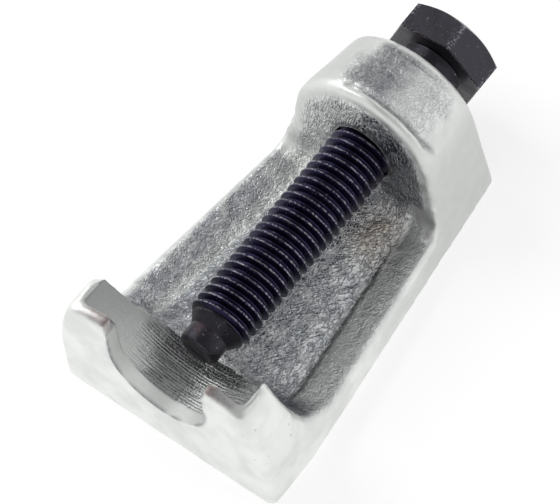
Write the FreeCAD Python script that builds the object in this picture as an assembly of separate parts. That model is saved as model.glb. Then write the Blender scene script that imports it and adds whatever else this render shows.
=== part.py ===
"""Ball joint separator: a forged fork body and the forcing screw that runs in its boss.

Millimetres. +X runs along the forcing screw from the fork to the hexagon head, +Y is across the
fork and +Z is out of the fork's mouth. The tool lies on its flat back, the plane z = 0, and the
origin is the centre of that back.
"""
import FreeCAD, Part
import math
import os

from FreeCAD import Vector

# Body, overall
BODY_LENGTH = 79.0
FORK_WIDTH = 49.0
BOSS_BASE_WIDTH = 35.0
FORK_PARALLEL = 12.0            # straight stretch of the plan before it starts to taper
SIDE_DRAFT = 1.0                # degrees, lower sides of the fork

# Fork outside
FORK_HEIGHT = 34.0              # height its crowned top would reach over the middle
TOP_RADIUS = 76.0
SHOULDER_START = 10.0           # height where the sides start to curve inwards
SHOULDER_RADIUS = 58.0
HORN_RADIUS = 4.0               # rounding between shoulder and top
FACE_EDGE_RADIUS = 1.6          # rounding between the outer face and the sides

# Fork inside
SLOT_WIDTH = 21.8
SLOT_BOTTOM = 12.1
LIP_THICKNESS = 3.1
HORN_WALL = 6.2                 # flat back's edge to counterbore, seen along the screw
COUNTERBORE_BOTTOM = 10.2

# Fork rear face
FORK_DEPTH = 16.8               # outer face to rear face, measured at the flat back
FORK_REAR_DRAFT = 14.0          # degrees
FORK_ROOT_RADIUS = 9.0
TIP_DROP = 4.0                  # fork's height down to where the rear face meets the horn's slope
TIP_SLOPE = 30.0                # degrees
TIP_RADIUS = 3.0
FLANK_RELIEF = 2.0              # how far the rear face falls back at the fork's flanks
FLANK_RELIEF_WIDTH = 6.5        # flank inwards to where the relief starts
FLANK_RELIEF_FOOT = 13.9        # height where the relief starts
FLANK_RELIEF_RISE = 3.0         # height in which it reaches its full depth

# Spine: a band along each side, a crease, and a crowned floor between the creases
RIM_HEIGHT = 7.0
RIM_CHAMFER = 1.2
BAND_WIDTH = 8.1
CREASE_HEIGHT = 5.3
CROWN_HEIGHT = 9.2

# Boss
BOSS_THICKNESS = 15.4           # end face to front face, measured at the top of the boss
BOSS_FRONT_RADIUS = 16.6
BOSS_END_RADIUS = 14.2
BOSS_FACE_DRAFT = 6.8           # degrees
BOSS_ROOT_RADIUS = 4.0
BOSS_FRONT_EDGE_RADIUS = 2.4
BOSS_END_CHAMFER = 1.1
SPINE_SET_IN = 2.0              # degrees the spine's sides lean in more than the boss's flanks
BORE_CHAMFER = 0.9

# Forcing screw, 1/2 in - 13 thread drawn at its major diameter
SCREW_HEIGHT = 18.2             # axis above the flat back
THREAD_DIAMETER = 12.7
RUNNING_CLEARANCE = 0.05        # radial, screw in bore
SHANK_DIAMETER = 12.1
NOSE_DIAMETER = 8.2
NOSE_LENGTH = 3.8
NOSE_CHAMFER = 0.8
SHOULDER_LENGTH = 3.1           # cone between the nose and the thread
SCREW_LENGTH = 73.0             # nose tip to the underside of the head
HEAD_ACROSS_FLATS = 19.0
HEAD_HEIGHT = 6.7
HEAD_CHAMFER_ANGLE = 30.0
HEAD_FACE_RADIUS = 9.0          # flat circle left on top of the head
HEAD_FILLET = 0.7
HEAD_TURN = 110.0               # degrees from +Y to one corner of the head
HEAD_GAP = 5.2                  # boss end face to the underside of the head as drawn
THREAD_RUNOUT = 1.2             # thread end to boss end face as drawn

# Cutters run this far past the faces that they cut through
BEYOND = 5.0


def sind(degrees):
    return math.sin(math.radians(degrees))


def cosd(degrees):
    return math.cos(math.radians(degrees))


def tand(degrees):
    return math.tan(math.radians(degrees))


# Places that follow from the sizes
FACE_X = -BODY_LENGTH / 2
END_X = BODY_LENGTH / 2
TAPER_X = FACE_X + FORK_PARALLEL
FRONT_X = END_X - BOSS_THICKNESS
HEAD_X = END_X + HEAD_GAP
TIP_X = HEAD_X - SCREW_LENGTH
BOSS_TOP = SCREW_HEIGHT + BOSS_FRONT_RADIUS
FOOT_X = FRONT_X - BOSS_TOP * tand(BOSS_FACE_DRAFT)     # boss front face at the flat back
SIDE_HEIGHT = CROWN_HEIGHT + BOSS_ROOT_RADIUS           # reaches over every root rounding
COUNTERBORE_RADIUS = FORK_WIDTH / 2 - HORN_WALL
TIP_HEIGHT = FORK_HEIGHT - TIP_DROP
ABOVE = max(BOSS_TOP, FORK_HEIGHT) + BEYOND


def rear_face_x(z):
    """Where the fork's drafted rear face stands at height z."""
    return FACE_X + FORK_DEPTH - z * tand(FORK_REAR_DRAFT)


ROOT_X = rear_face_x(0) + FORK_ROOT_RADIUS              # the fork's root has run out here


def boss_face_x(z):
    """Where the boss's drafted front face stands at height z."""
    return FOOT_X + z * tand(BOSS_FACE_DRAFT)


def plan_half_width(x):
    """Half the width of the flat back at x."""
    if x <= TAPER_X:
        return FORK_WIDTH / 2
    share = (x - TAPER_X) / (END_X - TAPER_X)
    return (FORK_WIDTH + share * (BOSS_BASE_WIDTH - FORK_WIDTH)) / 2


def boss_radius(x):
    """Radius of the boss's tapered barrel at x."""
    return BOSS_END_RADIUS + (BOSS_FRONT_RADIUS - BOSS_END_RADIUS) * (END_X - x) / BOSS_THICKNESS


def flank_draft(x):
    """Degrees that a boss flank leans in, from the flat back's edge to its tangent on the barrel."""
    half = plan_half_width(x)
    to_axis = math.hypot(SCREW_HEIGHT, half)
    return math.degrees(math.acos(boss_radius(x) / to_axis) - math.atan2(SCREW_HEIGHT, half))


def below_back(x, draft):
    """Foot of a drafted +Y side at x, run on below the flat back so that one cut makes it flat."""
    return Vector(x, plan_half_width(x) + BEYOND * tand(draft), -BEYOND)


def line(a, b):
    return Part.LineSegment(a, b).toShape()


def arc(a, b, c):
    return Part.Arc(a, b, c).toShape()


def polygon(points):
    """Edges of a closed polygon."""
    return [line(a, b) for a, b in zip(points, points[1:] + points[:1])]


def prism(edges, along):
    """Solid swept from a closed, flat chain of edges."""
    return Part.Face(Part.Wire(edges)).extrude(along)


def ruled(sections):
    """Solid with straight sides between closed sections."""
    return Part.makeLoft(sections, True, True)


def middle(edge):
    return edge.valueAt((edge.FirstParameter + edge.LastParameter) / 2)


def runs_along_x(edge):
    return abs(edge.tangentAt(edge.FirstParameter).x) > 0.9


def shoulder_corner(centre_y, centre_z):
    """Where the shoulder's arc meets the crowned top's arc, on the +Y side."""
    top_z = FORK_HEIGHT - TOP_RADIUS
    apart = math.hypot(centre_y, centre_z - top_z)
    along = (SHOULDER_RADIUS ** 2 - TOP_RADIUS ** 2 + apart ** 2) / (2 * apart)
    off = math.sqrt(SHOULDER_RADIUS ** 2 - along ** 2)
    unit_y = -centre_y / apart
    unit_z = (top_z - centre_z) / apart
    return centre_y + along * unit_y - off * unit_z, centre_z + along * unit_z + off * unit_y


def fork_section(x):
    """Outline of the fork at x: drafted sides, curved shoulders and a crowned top."""
    half = plan_half_width(x)
    start_y = half - SHOULDER_START * tand(SIDE_DRAFT)
    centre_y = start_y - SHOULDER_RADIUS * cosd(SIDE_DRAFT)
    centre_z = SHOULDER_START - SHOULDER_RADIUS * sind(SIDE_DRAFT)
    corner_y, corner_z = shoulder_corner(centre_y, centre_z)
    mid_angle = (math.atan2(corner_z - centre_z, corner_y - centre_y)
                 + math.radians(SIDE_DRAFT)) / 2
    mid_y = centre_y + SHOULDER_RADIUS * math.cos(mid_angle)
    mid_z = centre_z + SHOULDER_RADIUS * math.sin(mid_angle)

    right = [below_back(x, SIDE_DRAFT), Vector(x, start_y, SHOULDER_START),
             Vector(x, mid_y, mid_z), Vector(x, corner_y, corner_z)]
    left = [Vector(x, -p.y, p.z) for p in right]
    return Part.Wire([
        line(left[0], right[0]),
        line(right[0], right[1]),
        arc(right[1], right[2], right[3]),
        arc(right[3], Vector(x, 0, FORK_HEIGHT), left[3]),
        arc(left[3], left[2], left[1]),
        line(left[1], left[0]),
    ])


def side_section(x, draft):
    """Lower outline of the body at x: two drafted sides."""
    foot = below_back(x, draft)
    top = plan_half_width(x) - SIDE_HEIGHT * tand(draft)
    return Part.Wire(polygon([
        Vector(x, -foot.y, foot.z), foot,
        Vector(x, top, SIDE_HEIGHT), Vector(x, -top, SIDE_HEIGHT),
    ]))


def boss_section(x):
    """Outline of the boss at x: an arc about the screw with flanks tangent to it."""
    radius = boss_radius(x)
    draft = flank_draft(x)
    foot = below_back(x, draft)
    other_foot = Vector(x, -foot.y, foot.z)
    touch = Vector(x, radius * cosd(draft), SCREW_HEIGHT + radius * sind(draft))
    other_touch = Vector(x, -touch.y, touch.z)
    return Part.Wire([
        line(other_foot, foot),
        line(foot, touch),
        arc(touch, Vector(x, 0, SCREW_HEIGHT + radius), other_touch),
        line(other_touch, other_foot),
    ])


def boss_block():
    """The boss: a tapered barrel with drafted flanks, a drafted front face and rounded rims."""
    half = FORK_WIDTH / 2 + BEYOND
    front = polygon([
        Vector(boss_face_x(-BEYOND), -half, -BEYOND),
        Vector(boss_face_x(ABOVE), -half, ABOVE),
        Vector(FOOT_X - BEYOND, -half, ABOVE),
        Vector(FOOT_X - BEYOND, -half, -BEYOND),
    ])
    block = ruled([boss_section(boss_face_x(-BEYOND)), boss_section(END_X)])
    block = block.cut(prism(front, Vector(0, 2 * half, 0)))
    end_rim = [e for e in block.Edges if middle(e).x > END_X - 0.01 and middle(e).z > 1.0]
    block = block.makeChamfer(BOSS_END_CHAMFER, end_rim)
    front_rim = [e for e in block.Edges if middle(e).z > 1.0 and not runs_along_x(e)
                 and abs(middle(e).x - boss_face_x(middle(e).z)) < 0.01]
    return block.makeFillet(BOSS_FRONT_EDGE_RADIUS, front_rim)


def fork_and_spine():
    """Outside of the fork and the spine, not yet hollowed."""
    fork_front = Part.Face(fork_section(FACE_X)).extrude(Vector(FORK_PARALLEL, 0, 0))
    horns = [e for e in fork_front.Edges if runs_along_x(e) and middle(e).z > SHOULDER_START + 1.0]
    fork_front = fork_front.makeFillet(HORN_RADIUS, horns)
    face_rim = [e for e in fork_front.Edges if middle(e).x < FACE_X + 0.01 and middle(e).z > 0.1]
    fork_front = fork_front.makeFillet(FACE_EDGE_RADIUS, face_rim)
    fork_rear = ruled([fork_section(TAPER_X), fork_section(ROOT_X)])
    sides = ruled([side_section(ROOT_X, SIDE_DRAFT),
                   side_section(FRONT_X, flank_draft(FRONT_X) + SPINE_SET_IN)])
    return fork_front.fuse([fork_rear, sides])


def floor_section(x):
    """The spine's floor at x, its bands running on past the sides."""
    crease = plan_half_width(x) - BAND_WIDTH
    slope = (RIM_HEIGHT - CREASE_HEIGHT) / BAND_WIDTH
    out = FORK_WIDTH / 2 + BEYOND
    out_z = CREASE_HEIGHT + (out - crease) * slope
    return Part.Wire([
        line(Vector(x, -out, -2 * BEYOND), Vector(x, out, -2 * BEYOND)),
        line(Vector(x, out, -2 * BEYOND), Vector(x, out, out_z)),
        line(Vector(x, out, out_z), Vector(x, crease, CREASE_HEIGHT)),
        arc(Vector(x, crease, CREASE_HEIGHT), Vector(x, 0, CROWN_HEIGHT),
            Vector(x, -crease, CREASE_HEIGHT)),
        line(Vector(x, -crease, CREASE_HEIGHT), Vector(x, -out, out_z)),
        line(Vector(x, -out, out_z), Vector(x, -out, -2 * BEYOND)),
    ])


def flank_relief():
    """Wedge that lets the fork's rear face fall back towards the +Y flank."""
    inner = FORK_WIDTH / 2 - FLANK_RELIEF_WIDTH
    outer = FORK_WIDTH / 2 + BEYOND
    full = FLANK_RELIEF_FOOT + FLANK_RELIEF_RISE
    side = prism(polygon([
        Vector(rear_face_x(FLANK_RELIEF_FOOT), inner, FLANK_RELIEF_FOOT),
        Vector(rear_face_x(full) - FLANK_RELIEF, inner, full),
        Vector(rear_face_x(ABOVE) - 2 * FLANK_RELIEF, inner, ABOVE),
        Vector(rear_face_x(ABOVE) + FLANK_RELIEF, inner, ABOVE),
    ]), Vector(0, outer - inner, 0))
    reach = FLANK_RELIEF * (outer - inner) / FLANK_RELIEF_WIDTH
    plan = prism(polygon([
        Vector(rear_face_x(0), inner, 0),
        Vector(rear_face_x(0) - reach, outer, 0),
        Vector(rear_face_x(0) + reach, outer, 0),
        Vector(rear_face_x(0) + reach, inner, 0),
    ]), Vector(-ABOVE * tand(FORK_REAR_DRAFT), 0, ABOVE))
    return side.common(plan)


def hollow():
    """What is missing between the fork and the boss, its corners rounded."""
    half = FORK_WIDTH / 2 + BEYOND
    tip_x = rear_face_x(TIP_HEIGHT)
    gap = prism(polygon([
        Vector(tip_x - (ABOVE - TIP_HEIGHT) / tand(TIP_SLOPE), -half, ABOVE),
        Vector(tip_x, -half, TIP_HEIGHT),
        Vector(rear_face_x(0), -half, 0),
        Vector(FOOT_X, -half, 0),
        Vector(boss_face_x(ABOVE), -half, ABOVE),
    ]), Vector(0, 2 * half, 0))
    tip = [e for e in gap.Edges if abs(middle(e).z - TIP_HEIGHT) < 0.01 and abs(middle(e).y) < 0.01]
    gap = gap.makeFillet(TIP_RADIUS, tip)
    gap = gap.cut(ruled([floor_section(TAPER_X), floor_section(FRONT_X)]))

    def lies_on(edge, face_x):
        ends = [edge.valueAt(edge.FirstParameter), middle(edge), edge.valueAt(edge.LastParameter)]
        return (all(abs(p.x - face_x(p.z)) < 0.01 for p in ends)
                and abs(middle(edge).y) < half - 1.0 and middle(edge).z < SIDE_HEIGHT)

    fork_root = [e for e in gap.Edges if lies_on(e, rear_face_x)]
    gap = gap.makeFillet(FORK_ROOT_RADIUS, fork_root)
    boss_root = [e for e in gap.Edges if lies_on(e, boss_face_x)]
    return gap.makeFillet(BOSS_ROOT_RADIUS, boss_root)


def rim_half_width(x):
    """Half the distance between the spine's two rims at x."""
    share = (x - ROOT_X) / (FRONT_X - ROOT_X)
    lean = tand(SIDE_DRAFT) + share * (tand(flank_draft(FRONT_X) + SPINE_SET_IN) - tand(SIDE_DRAFT))
    return plan_half_width(x) - RIM_HEIGHT * lean


def rim_cutter():
    """Slanting cutter that chamfers the +Y rim and runs out round the fork's and boss's roots."""
    def at(x, z):
        return Vector(x, rim_half_width(x) - 2 * RIM_CHAMFER, z + RIM_CHAMFER)

    def rounding(centre_x, radius, first, last):
        centre_z = RIM_HEIGHT + radius
        return arc(*[at(centre_x + radius * cosd(turn), centre_z + radius * sind(turn))
                     for turn in (first, (first + last) / 2, last)])

    fork_x = (rear_face_x(RIM_HEIGHT + FORK_ROOT_RADIUS)
              + FORK_ROOT_RADIUS / cosd(FORK_REAR_DRAFT))
    boss_x = (boss_face_x(RIM_HEIGHT + BOSS_ROOT_RADIUS)
              - BOSS_ROOT_RADIUS / cosd(BOSS_FACE_DRAFT))
    fork_root = rounding(fork_x, FORK_ROOT_RADIUS, 180 + FORK_REAR_DRAFT, 270)
    boss_root = rounding(boss_x, BOSS_ROOT_RADIUS, 270, 360 - BOSS_FACE_DRAFT)
    start = fork_root.valueAt(fork_root.FirstParameter)
    end = boss_root.valueAt(boss_root.LastParameter)
    start_top = Vector(start.x, start.y, ABOVE)
    end_top = Vector(end.x, end.y, ABOVE)
    reach = RIM_CHAMFER + BEYOND
    return prism([
        line(start_top, start),
        fork_root,
        line(at(fork_x, RIM_HEIGHT), at(boss_x, RIM_HEIGHT)),
        boss_root,
        line(end, end_top),
        line(end_top, start_top),
    ], Vector(0, reach, -reach))


def slot_cutter(radius, bottom, x0, x1):
    """A round-bottomed slot, open upwards, from x0 to x1."""
    centre = bottom + radius
    edges = [
        line(Vector(x0, radius, ABOVE), Vector(x0, radius, centre)),
        arc(Vector(x0, radius, centre), Vector(x0, 0, bottom), Vector(x0, -radius, centre)),
        line(Vector(x0, -radius, centre), Vector(x0, -radius, ABOVE)),
        line(Vector(x0, -radius, ABOVE), Vector(x0, radius, ABOVE)),
    ]
    return prism(edges, Vector(x1 - x0, 0, 0))


def screw_bore():
    """Bore through the boss, chamfered where the screw goes in."""
    radius = THREAD_DIAMETER / 2 + RUNNING_CLEARANCE
    bore = Part.makeCylinder(radius, END_X - FOOT_X + 2 * BEYOND,
                             Vector(FOOT_X - BEYOND, 0, SCREW_HEIGHT), Vector(1, 0, 0))
    mouth = Part.makeCone(radius, radius + BORE_CHAMFER, BORE_CHAMFER,
                          Vector(END_X - BORE_CHAMFER, 0, SCREW_HEIGHT), Vector(1, 0, 0))
    return bore.fuse(mouth)


def forged_body():
    """One forging: fork, spine and boss, machined at the fork and bored for the screw."""
    body = fork_and_spine().cut(hollow())
    for cutter in (rim_cutter(), flank_relief()):
        body = body.cut([cutter, cutter.mirror(Vector(0, 0, 0), Vector(0, 1, 0))])
    body = body.fuse(boss_block()).removeSplitter()

    below = Part.makeBox(BODY_LENGTH + 2 * BEYOND, FORK_WIDTH + 2 * BEYOND, 2 * BEYOND,
                         Vector(FACE_X - BEYOND, -FORK_WIDTH / 2 - BEYOND, -2 * BEYOND))
    seat_x = FACE_X + LIP_THICKNESS
    slot = slot_cutter(SLOT_WIDTH / 2, SLOT_BOTTOM, FACE_X - BEYOND, seat_x + 1.0)
    counterbore = slot_cutter(COUNTERBORE_RADIUS, COUNTERBORE_BOTTOM, seat_x, ROOT_X)
    return body.cut([below, slot, counterbore, screw_bore()])


def turned(profile):
    """Solid turned about the screw's axis from (x, radius) points that end on the axis."""
    points = [Vector(x, 0, SCREW_HEIGHT + radius) for x, radius in profile]
    face = Part.Face(Part.Wire(polygon(points)))
    return face.revolve(Vector(0, 0, SCREW_HEIGHT), Vector(1, 0, 0), 360)


def screw_shank():
    """Nose, cone, thread and plain shank, with the flare into the head."""
    thread_r = THREAD_DIAMETER / 2
    shank_r = SHANK_DIAMETER / 2
    nose_r = NOSE_DIAMETER / 2
    nose_end = TIP_X + NOSE_LENGTH
    thread_end = END_X - THREAD_RUNOUT
    return turned([
        (TIP_X, 0),
        (TIP_X, nose_r - NOSE_CHAMFER),
        (TIP_X + NOSE_CHAMFER, nose_r),
        (nose_end, nose_r),
        (nose_end + SHOULDER_LENGTH, thread_r),
        (thread_end - (thread_r - shank_r), thread_r),
        (thread_end, shank_r),
        (HEAD_X - HEAD_FILLET, shank_r),
        (HEAD_X, shank_r + HEAD_FILLET),
        (HEAD_X + HEAD_HEIGHT / 2, shank_r),
        (HEAD_X + HEAD_HEIGHT / 2, 0),
    ])


def screw_head():
    """Hexagon head, its outer corners chamfered."""
    corner_r = HEAD_ACROSS_FLATS / 2 / cosd(180.0 / 6)
    corners = []
    for k in range(6):
        turn = HEAD_TURN + k * 60.0
        corners.append(Vector(HEAD_X, corner_r * cosd(turn), SCREW_HEIGHT + corner_r * sind(turn)))
    hexagon = prism(polygon(corners), Vector(HEAD_HEIGHT, 0, 0))

    head_end = HEAD_X + HEAD_HEIGHT
    disc_r = corner_r + BEYOND
    disc = turned([
        (HEAD_X, 0),
        (HEAD_X, disc_r),
        (head_end - (disc_r - HEAD_FACE_RADIUS) * tand(HEAD_CHAMFER_ANGLE), disc_r),
        (head_end, HEAD_FACE_RADIUS),
        (head_end, 0),
    ])
    return hexagon.common(disc)


def forcing_screw():
    """The screw in its drawn place, nose towards the fork."""
    return screw_shank().fuse(screw_head())


os.makedirs("parts", exist_ok=True)
for name, shape in (("forged_body", forged_body()), ("forcing_screw", forcing_screw())):
    solid = shape.Solids[0]
    print(name, "solids", len(shape.Solids), "valid", solid.isValid(),
          "volume", round(solid.Volume, 1), "faces", len(solid.Faces))
    solid.exportStep("parts/" + name + ".step")
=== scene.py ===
"""Looks of a ball joint separator: a zinc plated forging and the blackened forcing screw in its boss.

Sizes are in millimetres and angles in degrees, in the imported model's frame: +X runs along the screw from
the fork to the hexagon head, +Y is across the fork and +Z is out of the fork's mouth. Mesh points are in
metres, and MM turns one into the other.
"""
import logging
import math
from dataclasses import dataclass, field, fields
from enum import Enum
from typing import Callable

import bmesh
import bpy
import numpy as np
from mathutils import Matrix, Vector, noise


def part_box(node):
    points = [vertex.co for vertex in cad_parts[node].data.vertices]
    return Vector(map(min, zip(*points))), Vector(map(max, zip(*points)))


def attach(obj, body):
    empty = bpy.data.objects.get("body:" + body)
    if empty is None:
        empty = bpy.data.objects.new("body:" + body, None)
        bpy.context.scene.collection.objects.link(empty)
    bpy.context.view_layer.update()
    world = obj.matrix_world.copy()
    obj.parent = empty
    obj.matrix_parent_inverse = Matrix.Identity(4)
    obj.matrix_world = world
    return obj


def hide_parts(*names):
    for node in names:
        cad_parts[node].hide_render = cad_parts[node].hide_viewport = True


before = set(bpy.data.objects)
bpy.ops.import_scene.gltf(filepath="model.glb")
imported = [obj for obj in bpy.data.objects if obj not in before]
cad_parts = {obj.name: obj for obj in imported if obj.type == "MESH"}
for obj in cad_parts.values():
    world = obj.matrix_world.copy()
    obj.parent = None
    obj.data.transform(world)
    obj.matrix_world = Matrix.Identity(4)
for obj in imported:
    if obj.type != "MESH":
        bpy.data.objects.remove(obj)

LOG = logging.getLogger("separator")
MM = 0.001
WELD = 0.002 * MM
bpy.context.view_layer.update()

Tree = bpy.types.NodeTree
Array = np.ndarray
Colour = tuple[float, float, float, float]
Triple = tuple[float, float, float]
Span = tuple[float, float]


class Body(Enum):
    """The two bodies that the pieces ride on."""

    FORGING = "body"
    SCREW = "screw"


class Slot(Enum):
    """Names of two material slots."""

    FORGING = "satin_forging"
    SCREW = "black_screw"


class Noise(Enum):
    """Which corner of the noise field a pattern is taken from, so that no two patterns line up."""

    HAMMER = (3.1, 7.7, 1.9)
    SCALE = (41.0, 2.5, 13.0)
    FLOW = (9.4, 55.0, 21.0)
    WANDER = (77.0, 31.0, 5.0)
    DENT = (15.0, 90.0, 63.0)


# ---- Colours and nodes ----

@dataclass(frozen=True)
class Wire:
    """A node's output. Arithmetic with it adds Math nodes to its tree."""

    tree: Tree
    socket: bpy.types.NodeSocket

    def __add__(self, other: "Term") -> "Wire":
        """The sum."""
        return calculate("ADD", self, other)

    def __sub__(self, other: "Term") -> "Wire":
        """The difference."""
        return calculate("SUBTRACT", self, other)

    def __rsub__(self, other: float) -> "Wire":
        """A number less this."""
        return calculate("SUBTRACT", other, self)

    def __mul__(self, other: "Term") -> "Wire":
        """The product."""
        return calculate("MULTIPLY", self, other)

    def __truediv__(self, other: "Term") -> "Wire":
        """The quotient."""
        return calculate("DIVIDE", self, other)

    def __pow__(self, other: float) -> "Wire":
        """The power."""
        return calculate("POWER", self, other)


Term = Wire | float
Amount = Array | Wire


def linear(hex_colour: str) -> Colour:
    """Turns an sRGB hex colour into linear light.

    Args:
        hex_colour: six hex digits, with or without a leading #.

    Returns:
        Linear red, green and blue, with an alpha of 1.
    """
    digits = hex_colour.lstrip("#")
    parts = [int(digits[i:i + 2], 16) / 255 for i in (0, 2, 4)]
    return (*[p / 12.92 if p <= 0.04045 else ((p + 0.055) / 1.055) ** 2.4 for p in parts], 1.0)


def per_mm(size_mm: float) -> float:
    """Texture scale whose features are about size_mm across, for coordinates in millimetres."""
    return 1.0 / size_mm


def wave_scale(pitch_mm: float) -> float:
    """Wave Texture scale that repeats every pitch_mm, for coordinates in millimetres."""
    return math.tau / 20.0 / pitch_mm


def add(tree: Tree, kind: str, inputs: dict | None = None, **settings: object) -> bpy.types.Node:
    """Adds a node with its settings and inputs.

    Args:
        tree: the node tree.
        kind: the node's type name.
        inputs: input name or index to the wire that feeds it or to its own value.
        settings: properties of the node itself.

    Returns:
        The new node.
    """
    node = tree.nodes.new(kind)
    for name, value in settings.items():
        setattr(node, name, value)
    for key, value in (inputs or {}).items():
        if isinstance(value, Wire):
            tree.links.new(value.socket, node.inputs[key])
        else:
            node.inputs[key].default_value = value
    return node


def wire(tree: Tree, kind: str, output: int | str, inputs: dict | None = None, **settings: object) -> Wire:
    """Adds a node and returns one of its outputs, by name or index."""
    return Wire(tree, add(tree, kind, inputs, **settings).outputs[output])


def calculate(operation: str, *terms: Term) -> Wire:
    """Adds a Math node on wires and numbers, of which at least one is a wire."""
    tree = next(term.tree for term in terms if isinstance(term, Wire))
    return wire(tree, "ShaderNodeMath", 0, dict(enumerate(terms)), operation=operation)


def blend(share: Wire, first: Wire, second: Wire) -> Wire:
    """The first wire where the share is 0, and the second where it is 1."""
    return first + (second - first) * share


def mix(share: Wire, first: Wire | Colour, second: Wire | Colour) -> Wire:
    """Adds a colour Mix node: the first colour where the share is 0, and the second where it is 1."""
    return wire(share.tree, "ShaderNodeMix", 2, {0: share, 6: first, 7: second}, data_type="RGBA")


def ramp(value: Wire, low: float, high: float, to_low: float = 0.0, to_high: float = 1.0) -> Wire:
    """Maps a value smoothly from low..high to to_low..to_high and clamps it there."""
    inputs = {"Value": value, "From Min": low, "From Max": high, "To Min": to_low, "To Max": to_high}
    return wire(value.tree, "ShaderNodeMapRange", "Result", inputs, interpolation_type="SMOOTHSTEP")


def grain(where: Wire, size_mm: float, detail: float = 2.0, roughness: float = 0.5) -> Wire:
    """Adds a Noise Texture whose features are about size_mm across."""
    inputs = {"Vector": where, "Scale": per_mm(size_mm), "Detail": detail, "Roughness": roughness}
    return wire(where.tree, "ShaderNodeTexNoise", "Fac", inputs)


def axes(vector: Wire) -> list[Wire]:
    """A vector's X, Y and Z."""
    node = add(vector.tree, "ShaderNodeSeparateXYZ", {"Vector": vector})
    return [Wire(vector.tree, socket) for socket in node.outputs]


def millimetres(tree: Tree, stretch: Triple = (1.0, 1.0, 1.0), turn: float = 0.0) -> Wire:
    """Object coordinates in millimetres, turned about Z, each axis then divided by its stretch."""
    inputs = {"Vector": wire(tree, "ShaderNodeTexCoord", "Object"),
              "Rotation": (0.0, 0.0, math.radians(turn)), "Scale": tuple(MM * s for s in stretch)}
    return wire(tree, "ShaderNodeMapping", "Vector", inputs, vector_type="TEXTURE")


def new_material(name: str, values: dict[str, object]) -> bpy.types.Material:
    """Makes a material and gives its shader these values.

    Args:
        name: the material's name.
        values: shader input name to its value.

    Returns:
        The material.
    """
    material = bpy.data.materials.new(name)
    material.use_nodes = True
    for key, value in values.items():
        material.node_tree.nodes["Principled BSDF"].inputs[key].default_value = value
    return material


def feed(material: bpy.types.Material, wires: dict[str, Wire]) -> bpy.types.Material:
    """Feeds a material's shader with wires.

    Args:
        material: what is fed.
        wires: shader input name to its wire, or "Relief" to a height in millimetres.

    Returns:
        The same material.
    """
    tree = material.node_tree
    if "Relief" in wires:
        relief = {"Height": wires.pop("Relief"), "Strength": 1.0, "Distance": MM}
        wires["Normal"] = wire(tree, "ShaderNodeBump", "Normal", relief)
    for key, value in wires.items():
        tree.links.new(value.socket, tree.nodes["Principled BSDF"].inputs[key])
    return material


# ---- Finishes ----

@dataclass(frozen=True)
class Areas:
    """How far each kind of surface holds, from 0 to 1: an array over the points, or a wire in the finish.

    inside is the forged skin, and scale is the dark scale on it, taken off in places as painted highlights.
    seat is machined, and turned is the part of it that shows tool marks. face is the boss's front face, and
    floor is the trough's floor. shade is painted shade, save a dark burr along the slot's rim. The lip's tips
    carry wear and, on their tops, painted shade, and the outer side faces carry painted shade of their own.
    """

    inside: Amount
    scale: Amount
    seat: Amount
    turned: Amount
    wear_and_shade: Amount
    stain: Amount
    shade: Amount
    face: Amount
    floor: Amount
    painted_side_shade: Amount
    speckled: Amount


@dataclass(frozen=True)
class Patterns:
    """What the forging's colour, roughness and relief all follow, each from 0 to 1 but the place."""

    place: Wire
    facets: Wire
    lumps: Wire
    marked: Wire
    folds: Wire
    ridges: Wire
    crease: Wire
    pits: Wire
    marks: Wire
    chatter: Wire


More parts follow.
